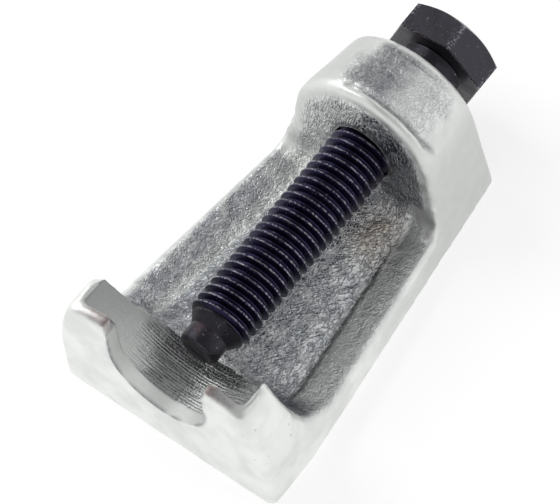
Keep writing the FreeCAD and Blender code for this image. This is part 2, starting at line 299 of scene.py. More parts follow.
@dataclass(frozen=True)
class ZincPlatedForging:
    """Drop forged steel, shot blasted, machined at the fork and then bright zinc plated.

    The die's outer faces come out smooth and pale, the inside keeps its forged scale as wrinkles that
    catch bright and dark, and the machined seat shows its tool marks. Each size and depth is in
    millimetres, and each "dark" says how far a mark goes towards the colour of the pits.
    """

    name: str = "zinc_plated_forged_steel"
    outer: str = "#ebedea"
    cloud: str = "#dee0de"
    # painted shade on the outer side faces
    painted_side_shade: str = "#cdcfcd"
    inner: str = "#dddfe0"
    smoked: str = "#b8bbc0"
    pit: str = "#4b4d50"
    seat: str = "#eef0ee"
    scored: str = "#b6b8b7"
    # colour of the lip's scuffed tips, also painted shade on the lip's tops
    wear_and_shade: str = "#8a7672"
    stain: str = "#b3a698"
    # painted shade in corners, the groove and under the screw, and a dark burr along the slot's rim
    shade: str = "#74767c"
    outer_roughness: float = 0.42
    inner_roughness: float = 0.27
    turned_roughness: float = 0.22
    seat_roughness: float = 0.58
    bare_share: float = 0.35
    cloud_size: float = 7.0
    lump_size: float = 3.0
    lump_depth: float = 0.70
    outer_lump_depth: float = 0.08
    fine_size: float = 0.22
    fine_depth: float = 0.006
    facet_size: float = 0.5
    facet_depth: float = 0.05
    seat_facet_depth: float = 0.07
    warp: float = 1.4
    warp_size: float = 4.0
    wrinkle_size: float = 1.15
    wrinkle_width: float = 0.07
    wrinkle_depth: float = 0.10
    # painted shade in the wrinkles' creases
    wrinkle_dark: float = 0.32
    ridge_size: float = 0.42
    ridge_depth: float = 0.26
    ridge_turn: float = -45.0
    ridge_dark: float = 0.16
    crease_width: float = 0.95
    crease_drift: float = 1.1
    crease_depth: float = 0.32
    crease_power: float = 1.6
    # painted shade along the die's fold
    crease_dark: float = 0.62
    pit_spacing: float = 1.7
    pit_radius: float = 0.20
    pit_depth: float = 0.06
    pit_dark: float = 0.8
    tool_pitch: float = 0.58
    tool_depth: float = 0.07
    pass_size: float = 1.3
    chatter_size: float = 0.32
    chatter_weight: float = 1.5
    score_dark: float = 0.65

    def warped(self, tree: Tree, stretch: Triple, turn: float = 0.0) -> Wire:
        """Makes coordinates that drift, so that what is drawn on them bends and never runs straight.

        Args:
            tree: the node tree.
            stretch: how much longer the features are along each axis.
            turn: how far the coordinates are turned about Z.

        Returns:
            The coordinates.
        """
        place = millimetres(tree, stretch, turn)
        drift = wire(tree, "ShaderNodeTexNoise", "Color",
                     {"Vector": place, "Scale": per_mm(self.warp_size), "Detail": 1.0})
        drift = wire(tree, "ShaderNodeVectorMath", 0, {0: drift, "Scale": self.warp}, operation="SCALE")
        return wire(tree, "ShaderNodeVectorMath", 0, {0: place, 1: drift}, operation="ADD")

    def wrinkles(self, tree: Tree, stretch: Triple) -> Wire:
        """Height from 0 in worm shaped creases to 1 on the scale between them."""
        folds = grain(self.warped(tree, stretch), self.wrinkle_size, 2.0, 0.6)
        return ramp(calculate("ABSOLUTE", folds - 0.5), 0.0, self.wrinkle_width)

    def ridges(self, tree: Tree, stretch: Triple, turn: float = 0.0) -> Wire:
        """Height of the fine ridges that the metal's flow left along one direction."""
        return grain(self.warped(tree, stretch, turn), self.ridge_size, 2.0, 0.6)

    def crease(self, place: Wire, lumps: Wire, floor: Wire, forging: "Forging") -> Wire:
        """Draws the fold that the die left along each side of the trough.

        Args:
            place: coordinates in millimetres.
            lumps: the pattern that its line drifts with.
            floor: 1 on the trough's floor, else 0.
            forging: the forging whose sizes it follows.

        Returns:
            1 on the fold's line, 0 away from it.
        """
        x, y, _ = axes(place)
        drift = (lumps - 0.5) * self.crease_drift
        line = (x - forging.taper_start) * forging.taper
        away = calculate("ABSOLUTE", y) + line - (forging.fork_width / 2 - forging.band_width)
        line = ramp(calculate("ABSOLUTE", away + drift), self.crease_width, 0.0) * floor
        return line * ramp(y, 2.0, -2.0, 0.12, 1.0)

    def pits(self, place: Wire, facets: Wire, speckled: Wire) -> Wire:
        """Scatters round pits, whose edges break up on the facets.

        Args:
            place: coordinates in millimetres.
            facets: the pattern that breaks them up.
            speckled: 1 where they lie, else 0.

        Returns:
            1 in a pit, else 0.
        """
        dots = wire(place.tree, "ShaderNodeTexVoronoi", "Distance",
                    {"Vector": place, "Scale": per_mm(self.pit_spacing), "Randomness": 1.0})
        radius = self.pit_radius / self.pit_spacing
        return ramp(dots, radius * 1.25, radius * 0.6) * speckled * ramp(facets, 0.45, 0.55)

    def tool_marks(self, place: Wire) -> tuple[Wire, Wire]:
        """Draws the marks that turning left on the machined faces.

        Args:
            place: coordinates in millimetres.

        Returns:
            Bands that come and go in passes, and the finer chatter across them.
        """
        bands = wire(place.tree, "ShaderNodeTexWave", "Fac",
                     {"Vector": place, "Scale": wave_scale(self.tool_pitch), "Distortion": 1.0,
                      "Detail": 2.0, "Detail Scale": 1.4}, wave_type="BANDS", bands_direction="X")
        passes = grain(millimetres(place.tree, (1.0, 20.0, 20.0)), self.pass_size, 1.0)
        chatter = grain(millimetres(place.tree, (1.0, 12.0, 12.0)), self.chatter_size, 2.0, 0.6)
        return bands * ramp(passes, 0.35, 0.65, 0.25, 1.0), chatter

    def colour(self, area: Areas, seen: Patterns) -> Wire:
        """Lays the plating, the scale, the marks and the machined faces over each other, with painted shade
        and painted highlights among them.

        Args:
            area: where each kind of surface lies.
            seen: the patterns that the surface follows.

        Returns:
            The colour.
        """
        pit = linear(self.pit)
        clouds = grain(seen.place, self.cloud_size, 3.0)
        colour = mix(ramp(clouds, 0.35, 0.65), linear(self.outer), linear(self.cloud))
        # painted shade on the outer faces' sides and the boss's +Y side
        colour = mix(area.painted_side_shade, colour, linear(self.painted_side_shade))
        scale = mix(ramp(seen.lumps, 0.40, 0.62), linear(self.smoked), linear(self.inner))
        # where scale is taken off, the pale outer colour is a painted highlight
        colour = mix(area.scale, colour, scale)
        colour = mix(area.stain, colour, linear(self.stain))

        # folded paints shade into the wrinkles' creases and creased paints shade along the die's fold
        folded = (1.0 - seen.folds) * (seen.marked * self.wrinkle_dark)
        flecks = ramp(seen.ridges, 0.46, 0.34) * ((area.inside + seen.marked) * self.ridge_dark)
        creased = seen.crease ** self.crease_power * self.crease_dark
        for mark in (folded, flecks, creased, seen.pits * self.pit_dark):
            colour = mix(mark, colour, pit)

        scored = ramp(seen.chatter, 0.60, 0.36) * ramp(seen.marks, 0.6, 0.1) * self.score_dark
        scored = mix(scored, linear(self.scored), pit)
        colour = mix(area.seat, colour, mix(area.turned, linear(self.seat), scored))
        # painted shade, and the dark burr along the slot's rim
        colour = mix(area.shade * ramp(seen.facets, 0.36, 0.58, 1.0, 0.70), colour, linear(self.shade))
        return mix(area.wear_and_shade, colour, linear(self.wear_and_shade))

    def roughness(self, area: Areas, seen: Patterns) -> Wire:
        """Makes it satin outside, brighter on the plated scale, and the tool's own on machined faces.

        Args:
            area: where each kind of surface lies.
            seen: the patterns that the surface follows.

        Returns:
            The roughness.
        """
        forged = ramp(seen.marked, 0.0, 1.0, self.outer_roughness, self.inner_roughness)
        forged = forged + ramp(seen.lumps, 0.3, 0.7, -0.05, 0.08)
        machined = ramp(area.turned, 0.0, 1.0, self.seat_roughness, self.turned_roughness)
        return blend(area.seat, forged, machined)

    def relief(self, area: Areas, seen: Patterns) -> Wire:
        """Puts low lumps outside, folds and ridges inside, and tool marks on machined faces.

        Args:
            area: where each kind of surface lies.
            seen: the patterns that the surface follows.

        Returns:
            The height in millimetres.
        """
        cut = (seen.marks + seen.chatter * self.chatter_weight) * self.tool_depth
        cut = cut * (area.turned * 0.95 + 0.05) + seen.facets * self.seat_facet_depth
        forged = seen.folds * self.wrinkle_depth * (area.face * 0.6 + 1.0)
        forged = forged - seen.crease * self.crease_depth + seen.facets * self.facet_depth
        bare = (area.inside - area.scale) * 0.5
        forged = forged + seen.ridges * ((bare + 1.0) * self.ridge_depth) + seen.lumps * self.lump_depth
        smooth = seen.lumps * self.outer_lump_depth + grain(seen.place, self.fine_size) * self.fine_depth
        smooth = smooth - seen.pits * self.pit_depth
        return blend(area.seat, blend(area.inside, smooth, forged), cut)

    def build(self, forging: "Forging") -> bpy.types.Material:
        """Builds the finish.

        Args:
            forging: the forging whose sizes it follows.

        Returns:
            The material.
        """
        material = new_material(self.name, {"Metallic": 1.0})
        tree = material.node_tree
        area = Areas(*(wire(tree, "ShaderNodeAttribute", "Fac", attribute_name=each.name)
                       for each in fields(Areas)))
        place = millimetres(tree)
        facets = grain(place, self.facet_size, 3.0, 0.6)
        lumps = grain(place, self.lump_size, 3.0, 0.55)
        floor_folds = self.wrinkles(tree, (1.5, 0.8, 1.0))
        face_folds = self.wrinkles(tree, (1.0, 0.8, 2.6))
        floor_ridges = self.ridges(tree, (2.8, 0.9, 1.2), self.ridge_turn)
        face_ridges = self.ridges(tree, (1.0, 0.9, 2.8))
        seen = Patterns(
            place, facets, lumps,
            area.inside * self.bare_share + area.scale * (1.0 - self.bare_share),
            blend(area.face, floor_folds, face_folds),
            blend(area.face, floor_ridges, face_ridges),
            self.crease(place, lumps, area.floor, forging),
            self.pits(place, facets, area.speckled),
            *self.tool_marks(place),
        )
        return feed(material, {"Base Color": self.colour(area, seen), "Roughness": self.roughness(area, seen),
                               "Relief": self.relief(area, seen)})


@dataclass(frozen=True)
class BlackenedSteel:
    """Turned and rolled steel, heat treated and oil blackened.

    The oxide is almost black with a blue cast on the thread and greyer on the head. Bare steel is painted
    on the crests and the hexagon's corners, where they were scuffed and knocked, and it also stands for their
    highlights.
    """

    name: str = "blackened_screw_steel"
    oxide: str = "#37363c"
    thread_oxide: str = "#28253e"
    head_oxide: str = "#46454b"
    bare_steel_and_glint: str = "#96969e"
    rust: str = "#443437"
    roughness: float = 0.34
    crest_band: float = 0.06
    corner_width: float = 5.0
    speck_size: float = 0.45
    speck_depth: float = 0.05
    cloud_size: float = 3.5
    cloud_depth: float = 0.10
    ring_pitch: float = 0.35
    ring_depth: float = 0.04

    def build(self, screw: "ForcingScrew") -> bpy.types.Material:
        """Builds the finish.

        Args:
            screw: the screw whose sizes it follows.

        Returns:
            The material.
        """
        material = new_material(self.name, {"Metallic": 1.0})
        place = millimetres(material.node_tree)
        x, y, z = axes(place)
        up = z - screw.axis_height
        radius = calculate("SQRT", y ** 2.0 + up ** 2.0)
        specks = grain(place, self.speck_size, 3.0, 0.6)
        clouds = grain(place, self.cloud_size, 3.0)

        start = screw.thread_start + screw.shoulder_length
        rolled = ramp(x, start - 0.6, start - 0.1) * ramp(x, screw.thread_end + 0.2, screw.thread_end - 0.3)
        # Scuffed bare steel on the crests, which also stands for their painted highlights.
        crest = ramp(radius, screw.major_radius - self.crest_band, screw.major_radius) * rolled
        crest = crest * ramp(specks, 0.40, 0.62, 0.0, 0.8)
        head = ramp(x, screw.head_x - 0.1, screw.head_x + 0.2, 0.0, 0.8)
        turn = calculate("ARCTAN2", up, y) - math.radians(screw.head_turn)
        from_corner = calculate("PINGPONG", turn, math.tau / 12)
        corner = ramp(from_corner, math.radians(self.corner_width), 0.0)
        corner = corner * ramp(radius, screw.across_flats / 2 + 0.1, screw.across_flats / 2 + 0.5)
        corner = corner * ramp(specks, 0.50, 0.60, 0.0, 0.7)
        # Knocked corners and dust specks; the corner marks also stand for painted highlights along the edges.
        knocks_and_glints = calculate("MAXIMUM", corner, ramp(specks, 0.65, 0.72, 0.0, 0.8))
        colour = mix(ramp(clouds, 0.55, 0.75, 0.0, 0.6), linear(self.oxide), linear(self.rust))
        for share, over in ((rolled, self.thread_oxide), (head, self.head_oxide), (crest, self.bare_steel_and_glint),
                            (knocks_and_glints, self.bare_steel_and_glint)):
            colour = mix(share, colour, linear(over))

        rough = ramp(clouds, 0.3, 0.7, self.roughness - 0.05, self.roughness + 0.1)
        under_head = ramp(x, screw.head_x + 0.3, screw.head_x + 0.2)
        under_head = under_head * ramp(radius, screw.major_radius + 0.1, screw.major_radius + 0.3)
        nose_end = ramp(x, screw.tip_x + 0.2, screw.tip_x + 0.1)
        rings = calculate("SINE", radius * (math.tau / self.ring_pitch))
        relief = rings * ((under_head + nose_end) * self.ring_depth)
        relief = relief + specks * self.speck_depth + clouds * self.cloud_depth
        return feed(material, {"Base Color": colour, "Roughness": rough, "Relief": relief})


@dataclass(frozen=True)
class WhiteSheet:
    """Matt white paper sheet on a light table, lit a little from below."""

    name: str = "matt_white_paper"
    colour: str = "#d2d2d2"
    fibre: str = "#c8c8c8"
    light: str = "#ffffff"
    roughness: float = 0.9
    specular: float = 0.2
    glow: float = 0.56
    fibre_size: float = 0.8
    fibre_share: float = 0.03

    def build(self) -> bpy.types.Material:
        """Builds the finish.

        Returns:
            The material.
        """
        material = new_material(self.name, {
            "Roughness": self.roughness, "Specular IOR Level": self.specular,
            "Emission Color": linear(self.light), "Emission Strength": self.glow})
        fibre = grain(millimetres(material.node_tree), self.fibre_size, 3.0)
        share = ramp(fibre, 0.3, 0.7, 0.0, self.fibre_share)
        return feed(material, {"Base Color": mix(share, linear(self.colour), linear(self.fibre))})


# ---- Mesh helpers ----

def read(items: bpy.types.bpy_prop_collection, name: str, kind: type, width: int) -> Array:
    """Reads one property of all of a mesh's points, normals or edges.

    Args:
        items: the mesh's points, normals or edges.
        name: the property's name.
        kind: the type of its numbers.
        width: how many numbers each item has.

    Returns:
        A row of numbers for each item.
    """
    flat = np.empty(len(items) * width, kind)
    items.foreach_get(name, flat)
    return flat.reshape(-1, width)


def neighbour_mean(values: Array, ends: Array) -> Array:
    """Takes the mean of each point's neighbours.

    Args:
        values: one number or one vector for each point.
        ends: the two points of each edge.

    Returns:
        The means, in the shape of the values.
    """
    columns = values.reshape(len(values), -1)
    total = np.zeros_like(columns)
    for a, b in ((0, 1), (1, 0)):
        for k in range(columns.shape[1]):
            total[:, k] += np.bincount(ends[:, a], columns[ends[:, b], k], len(columns))
    count = np.bincount(ends.ravel(), minlength=len(columns))
    return (total / np.maximum(count, 1)[:, None]).reshape(values.shape)


def relax(values: Array, ends: Array, steps: int, share: Array | float = 1.0) -> Array:
    """Moves each value half way towards its neighbours' mean, again and again.

    Args:
        values: one number or one vector for each point.
        ends: the two points of each edge.
        steps: how often they move.
        share: how far each point joins in, from 0 to 1.

    Returns:
        The moved values.
    """
    share = np.asarray(share, float)
    if values.ndim == 2 and share.ndim == 1:
        share = share[:, None]
    for _ in range(steps):
        values = values + share * 0.5 * (neighbour_mean(values, ends) - values)
    return values


def fractal(points: Array, size_mm: float, field_at: Noise, octaves: float = 3.0,
            stretch: Triple = (1.0, 1.0, 1.0)) -> Array:
    """Fractal noise at the points, about -1 to 1.

    Args:
        points: places in millimetres.
        size_mm: size of the largest features.
        field_at: which corner of the noise field to read.
        octaves: how many finer layers there are.
        stretch: how much longer the features are along each axis.

    Returns:
        One number for each point.
    """
    scaled = points / (np.array(stretch) * size_mm) + np.array(field_at.value)
    return np.array([noise.fractal(p, 0.9, 2.1, octaves) for p in scaled.tolist()])


def bell(distance: Array, width: float) -> Array:
    """1 at no distance, falling off over about width."""
    return np.exp(-(distance / width) ** 2)


def step(values: Array, low: float, high: float) -> Array:
    """Smooth step from 0 at low to 1 at high, or the other way where high is less."""
    t = np.clip((values - low) / (high - low), 0, 1)
    return t * t * (3 - 2 * t)


def most(*shares: Array) -> Array:
    """The largest of several shares at each point."""
    return np.maximum.reduce(shares)


def to_mesh(made: bmesh.types.BMesh, name: str) -> bpy.types.Mesh:
    """Turns a finished BMesh into a mesh and frees it.

    Args:
        made: the BMesh.
        name: the mesh's name.

    Returns:
        The mesh.
    """
    mesh = bpy.data.meshes.new(name)
    made.to_mesh(mesh)
    made.free()
    return mesh


def evaluated(holder: bpy.types.Object) -> bpy.types.Mesh:
    """Applies an object's modifiers and removes the object.

    Args:
        holder: the object.

    Returns:
        Its mesh.
    """
    graph = bpy.context.evaluated_depsgraph_get()
    mesh = bpy.data.meshes.new_from_object(holder.evaluated_get(graph))
    bpy.data.objects.remove(holder)
    return mesh


def link(name: str, data: bpy.types.ID) -> bpy.types.Object:
    """Puts a new object in the scene.

    Args:
        name: the object's name.
        data: its mesh, camera or light.

    Returns:
        The object.
    """
    made = bpy.data.objects.new(name, data)
    bpy.context.scene.collection.objects.link(made)
    return made


def new_piece(name: str, mesh: bpy.types.Mesh, finish: bpy.types.Material, sharp_from: float, body: Body,
              node: str) -> bpy.types.Object:
    """Finishes a mesh and puts it in the scene, riding on its body in place of a CAD node.

    Args:
        name: the piece's name.
        mesh: its mesh, with its place in its points.
        finish: its material.
        sharp_from: the angle from which an edge is drawn sharp.
        body: the body that it rides on.
        node: the CAD node that it stands for.

    Returns:
        The new object.
    """
    mesh.shade_smooth()
    mesh.set_sharp_from_angle(angle=math.radians(sharp_from))
    mesh.materials.append(finish)
    piece = link(name, mesh)
    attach(piece, body.value)
    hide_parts(node)
    LOG.info("%s: %d points, %d faces, rides on %s", name, len(mesh.vertices), len(mesh.polygons), body.value)
    return piece


# ---- The forging ----

@dataclass(frozen=True)
class Places:
    """Where each point of the forging lies, in millimetres and degrees.

    side is the distance from the middle plane, ends the two points of each edge, seat 1 on machined faces,
    and wander a slow noise that borders follow. radius and turn go about the screw's axis, with no turn
    straight up and more towards +Y. half is half the flat back's width, and from_edge is measured in from
    the back's edge, in_boss in from the boss's outline, ahead from the boss's face towards the fork, and
    behind from the fork's rear face towards the boss.
    """

    points: Array
    x: Array
    y: Array
    z: Array
    side: Array
    normals: Array
    ends: Array
    seat: Array
    wander: Array
    radius: Array
    turn: Array
    half: Array
    from_edge: Array
    in_boss: Array
    ahead: Array
    behind: Array


@dataclass
class Forging:
    """The forged body: its CAD solid with the skin that forging, machining and use leave on it."""

    node: str = "forged_body"
    screw_height: float = 18.2
    lip_thickness: float = 3.1
    slot_radius: float = 10.9
    slot_centre: float = 23.0
    seat_radius: float = 18.3
    seat_centre: float = 28.5
    bore_radius: float = 6.4
    fork_depth: float = 16.8
    fork_rear_draft: float = 14.0
    boss_foot: float = 19.95
    boss_face_draft: float = 6.8
    boss_radius: float = 16.6
    fork_width: float = 49.0
    end_width: float = 35.0
    parallel: float = 12.0
    band_width: float = 8.1
    hammer_size: float = 9.0
    hammer_depth: float = 0.06
    hammer_sink: float = 0.05
    scale_size: float = 2.2
    scale_depth: float = 0.14
    scale_sink: float = 0.14
    flow_size: float = 1.5
    flow_depth: float = 0.12
    flow_stretch: Triple = (0.8, 2.2, 1.0)
    groove_x: float = 25.5
    groove_depth: float = 0.40
    groove_wander: float = 0.35
    groove_wander_size: float = 6.0
    crown_drop: float = 0.50
    crack_x: float = 37.2
    crack_depth: float = 0.35
    wander_size: float = 4.0
    edge_steps: int = 5
    lip_steps: int = 26
    horn_steps: int = 30
    foot_steps: int = 120
    crown_from: float = 11.0
    floor_top: float = 12.0
    machined_within: float = 0.06
    remesh_depth: int = 8
    remesh_scale: float = 0.66
    sharp_from: float = 48.0
    finish: ZincPlatedForging = field(default_factory=ZincPlatedForging)

    @property
    def face_x(self) -> float:
        """Where the fork's outer face stands."""
        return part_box(self.node)[0].x / MM

    @property
    def lip_x(self) -> float:
        """Where the lip ends and the seat begins."""
        return self.face_x + self.lip_thickness

    @property
    def taper_start(self) -> float:
        """Where the flat back starts to narrow."""
        return self.face_x + self.parallel

    @property
    def taper(self) -> float:
        """How much narrower half the back gets for each millimetre along X."""
        return (self.fork_width - self.end_width) / 2 / (-self.face_x - self.taper_start)

    def half_width(self, x: Array) -> Array:
        """Half the width of the flat back at x."""
        along = np.clip(x - self.taper_start, 0, -self.face_x - self.taper_start)
        return self.fork_width / 2 - self.taper * along

    def rear_face(self, z: Array) -> Array:
        """Where the fork's rear face stands at height z."""
        return self.face_x + self.fork_depth - z * math.tan(math.radians(self.fork_rear_draft))

    def boss_face(self, z: Array) -> Array:
        """Where the boss's front face stands at height z."""
        return self.boss_foot + z * math.tan(math.radians(self.boss_face_draft))

    def from_slot(self, points: Array, centre: float, radius: float) -> Array:
        """Distance from a round-bottomed slot's wall, negative inside the slot."""
        y, z = points[:, 1], points[:, 2]
        return np.where(z < centre, np.hypot(y, z - centre), np.abs(y)) - radius

    def about_screw(self, points: Array) -> tuple[Array, Array]:
        """Distance from the screw's axis and the turn about it."""
        y, up = points[:, 1], points[:, 2] - self.screw_height
        return np.hypot(y, up), np.degrees(np.arctan2(y, up))

    def skin(self) -> bpy.types.Mesh:
        """Divides the CAD node's surface evenly and keeps its sharp edges.

        Returns:
            One closed mesh.
        """
        source = bmesh.new()
        source.from_mesh(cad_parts[self.node].data)
        bmesh.ops.remove_doubles(source, verts=source.verts, dist=WELD)
        holder = link("coarse_forging", to_mesh(source, "coarse_forging"))
        remesh = holder.modifiers.new("even", "REMESH")
        remesh.mode = "SHARP"
        remesh.octree_depth = self.remesh_depth
        remesh.scale = self.remesh_scale
        remesh.sharpness = 1.0
        remesh.use_remove_disconnected = False
        return evaluated(holder)

    def machined(self, points: Array) -> Array:
        """Finds the machined faces.

        Args:
            points: places in millimetres.

        Returns:
            1 for each point on a machined face, else 0.
        """
        x, _, z = points.T
        near = self.machined_within
        seat = self.from_slot(points, self.seat_centre, self.seat_radius)
        slot = self.from_slot(points, self.slot_centre, self.slot_radius)
        bore = self.about_screw(points)[0] - self.bore_radius
        on_seat = (np.abs(seat) < near) & (x > self.lip_x - near) & (x < self.rear_face(z) + 0.5)
        on_lip = (np.abs(x - self.lip_x) < near) & (seat < near)
        on_slot = (np.abs(slot) < near) & (x < self.lip_x + near)
        on_bore = (np.abs(bore) < near) & (x > 0)
        return (on_seat | on_lip | on_slot | on_bore).astype(float)

    def measure(self, mesh: bpy.types.Mesh) -> Places:
        """Measures where each of the skin's points lies.

        Args:
            mesh: the skin.

        Returns:
            The places.
        """
        points = read(mesh.vertices, "co", np.float32, 3).astype(float) / MM
        x, y, z = points.T
        side, half = np.abs(y), self.half_width(x)
        radius, turn = self.about_screw(points)
        flank = half + np.clip(z / self.screw_height, 0, 1) * (self.boss_radius - half)
        in_boss = np.where(z > self.screw_height, self.boss_radius - radius, flank - side)
        normals = read(mesh.vertex_normals, "vector", np.float32, 3).astype(float)
        ends = read(mesh.edges, "vertices", np.int32, 2)
        wander = fractal(points, self.wander_size, Noise.WANDER, 2.0)
        return Places(points, x, y, z, side, normals, ends, self.machined(points), wander, radius, turn, half,
                      half - side, in_boss, self.boss_face(z) - x, x - self.rear_face(z))

    def crown(self, at: Places) -> Array:
        """The rough crown of the boss, between its rims and fainter towards -Y.

        Args:
            at: where the skin's points lie.

        Returns:
            A number from 0 to 1 for each point.
        """
        front = step(at.x + 0.8 * at.wander, 25.6, 27.4)
        back = step(at.x + 0.5 * at.wander, 38.6, 37.2)
        sides = step(at.turn + 14 * at.wander, -64, -36) * step(at.turn + 14 * at.wander, 38, 16)
        # Fainter towards -Y, so the crown is paler there as a painted highlight.
        strength = 0.60 + 0.35 * step(at.turn, -35, -5)
        return front * back * sides * (at.radius > self.crown_from) * strength

    def face(self, at: Places) -> Array:
        """The boss's front face."""
        return step(at.ahead, 3.5, 1.5)

    def inside(self, at: Places) -> Array:
        """The forged skin: the trough with its ends, the boss's face and its crown.

        Args:
            at: where the skin's points lie.

        Returns:
            A number from 0 to 1 for each point.
        """
        floor = step(at.from_edge + 0.4 * at.wander, 0.7, 2.4)
        on_boss = step(at.in_boss + 0.4 * at.wander, 2, 4.2)
        rear = step(at.behind, 3.5, 1.5) * step(at.z, 6, 9)
        on_rear = step(at.z + at.wander, 25, 21) * step(at.from_edge + at.wander, 1.5, 4)
        inside = floor + self.face(at) * (on_boss - floor)
        inside = inside + rear * (on_rear - inside)
        between = (at.ahead > -0.4) & (at.behind > -0.4)
        inside = inside * (between & (at.z > 4.0) & (at.normals[:, 2] > -0.3))
        smooth_band = step(at.from_edge, self.band_width + 0.5, self.band_width - 1)
        smooth_band = smooth_band * step(at.x, 5, 16) * (at.z < self.floor_top)
        smooth_band = smooth_band * np.where(at.y < 0, 0.75, 0.35)
        return relax(np.maximum(inside * (1 - smooth_band), self.crown(at)) * (1 - at.seat), at.ends, 3)

    def lip(self, at: Places) -> Array:
        """The lip of the slot, from the fork's outer face to the seat."""
        return step(at.x, self.lip_x + 1.2, self.lip_x + 0.3)

    def lip_tops(self, at: Places) -> Array:
        """The lip's two upturned ends."""
        top = step(at.z, 31, 32.5) * step(at.side, 19, 17)
        return self.lip(at) * top * step(at.normals[:, 2], 0.2, 0.7)

    def wear_and_shade(self, at: Places) -> Array:
        """Where use has scuffed and tarnished the lip's two tips, with painted shade on the lip's tops.

        Args:
            at: where the skin's points lie.

        Returns:
            A number from 0 to 1 for each point.
        """
        corner = np.hypot(at.side - self.slot_radius - 1.2, at.z - 33.4)
        wear_and_shade = self.lip(at) * bell(corner, 2.3) * step(fractal(at.points, 1.2, Noise.DENT, 2), -0.7, 0.2)
        wear_and_shade = np.where(at.normals[:, 0] < -0.8, 0.0, wear_and_shade)
        # The lip's tops take the same colour as painted shade.
        return np.maximum(wear_and_shade, 0.55 * self.lip_tops(at) * step(at.wander, -0.4, 0.4))

    def floor(self, at: Places, inside: Array) -> Array:
        """The trough's floor, where the die left its creases; weaker towards +Y."""
        along = step(at.x, 19, 15) * step(at.behind, 1, 4) * step(at.z, self.floor_top, 10)
        return inside * along * np.where(at.y < 0, 1.0, 0.6)

    def stain(self, at: Places, inside: Array) -> Array:
        """The brownish stain in the trough before the boss."""
        stain = bell(np.hypot(at.x - 14, (at.y + 9) * 1.3), 5.5) * step(at.wander, -1.6, 0.3)
        return 0.85 * stain * step(at.z, self.floor_top, 10) * inside

    def scale(self, at: Places, inside: Array) -> Array:
        """Dark wrinkled scale on the forged skin, taken off as painted highlights on the -Y band, +Y fold, +Y
        face and -Y crown.

        Args:
            at: where the skin's points lie.
            inside: 1 on the forged skin, else 0.

        Returns:
            A number from 0 to 1 for each point.
        """
        band = step(at.from_edge, self.band_width + 0.5, self.band_width - 0.5) * self.floor(at, inside)
        ridge = bell(at.y - at.half + self.band_width - 0.3, 1.4) * (at.z < 11)
        # Taking the scale off shows the pale outer colour as painted highlights.
        scale = inside * (1 - 0.9 * band * (at.y < 0)) * (1 - 0.9 * ridge)
        scale = scale * (1 - 0.8 * self.face(at) * (at.y > 0))
        return scale * (1 - 0.8 * self.crown(at) * step(at.turn, -4, -20))

    def shade(self, at: Places, inside: Array) -> Array:
        """Painted shade in corners, under the screw, in the groove and on the boss, horn and lip; a dark burr
        on the slot's rim.

        Args:
            at: where the skin's points lie.
            inside: 1 on the forged skin, else 0.

        Returns:
            A number from 0 to 1 for each point.
        """
        # All of these are painted shade but the rim, which is a dark burr along the slot's edge.
        dark_face = self.face(at) * step(at.y, 1, -5) * step(at.in_boss, 2, 4)
        dark_face = dark_face * step(at.z + at.wander, 7, 11)
        dark_crown = self.crown(at) * bell(at.turn - 8 + 6 * at.wander, 20) * step(at.x, 25.5, 29)
        near_corner = step(at.y + 2 * at.wander, -8, -15)
        far_corner = 0.7 * step(at.y, 8, 12) * step(at.wander, -0.5, 0.4)
        corners = step(at.behind, 5, 1) * step(at.z, 20, 10) * np.maximum(near_corner, far_corner)
        groove = step(at.turn, -66, -52) * step(at.turn, 16, 2) * (at.radius > self.crown_from)
        groove = groove * bell(at.x + 0.35 * at.wander - self.groove_x - 0.8, 0.5)
        groove = groove * step(at.wander, -1.2, -0.3)
        from_fold = at.y - at.half + self.band_width
        under_screw = bell(from_fold + 3.2 + 0.5 * at.wander, 2.2) * step(at.x, 17, 12)
        under_screw = under_screw * (at.z < 11.0) * step(at.behind, 0.5, 3)
        horn_top = at.seat * step(at.z, 29, 31) * (at.y > 0)
        rim = np.hypot(self.from_slot(at.points, self.slot_centre, self.slot_radius), at.x - self.face_x)
        rim = bell(rim, 0.45) * step(at.wander, -0.5, 0.2) * (at.z < 32)
        forged = most(0.85 * dark_face, dark_crown, corners) * inside
        lip_tops = self.lip_tops(at)
        return most(forged, 0.85 * under_screw, 0.95 * groove, 0.4 * horn_top, 0.5 * lip_tops, 0.8 * rim)

    def speckled(self, at: Places, inside: Array) -> Array:
        """Where pits lie scattered: on the near horn's flank and on the boss's.

        Args:
            at: where the skin's points lie.
            inside: 1 on the forged skin, else 0.

        Returns:
            A number from 0 to 1 for each point.
        """
        horn = step(at.y, -15, -19) * step(at.x, -22, -28) * step(at.z, 10, 16) * (1 - inside)
        boss = step(at.y, -10, -13) * step(at.x, 22, 26) * step(at.z, 12, 20)
        return np.maximum(horn, 0.6 * boss) * step(at.wander, -0.3, 0.3)

    def painted_side_shade(self, at: Places) -> Array:
        """Painted shade on the outer faces: low sides towards the boss, and the boss's +Y side."""
        sides = step(at.x, -10, 28) * step(at.normals[:, 2], 0.8, 0.2)
        return np.maximum(sides, step(at.x, 22, 27) * step(at.normals[:, 1], 0.25, 0.55))

    def areas(self, at: Places) -> Areas:
        """Finds where each kind of surface lies.

        Args:
            at: where the skin's points lie.

        Returns:
            The areas.
        """
        inside = self.inside(at)
        wear_and_shade = self.wear_and_shade(at)
        turned = relax(at.seat * (at.x > self.lip_x - 0.2) * (at.x < 0.0), at.ends, 1)
        return Areas(
            inside=inside,
            scale=self.scale(at, inside),
            seat=relax(at.seat, at.ends, 1) * (1 - wear_and_shade),
            turned=turned * step(at.y + 2 * at.wander, 15, 6),
            wear_and_shade=0.8 * wear_and_shade,
            stain=self.stain(at, inside),
            shade=self.shade(at, inside),
            face=self.face(at),
            floor=self.floor(at, inside),
            painted_side_shade=self.painted_side_shade(at) * (1 - inside),
            speckled=self.speckled(at, inside),
        )

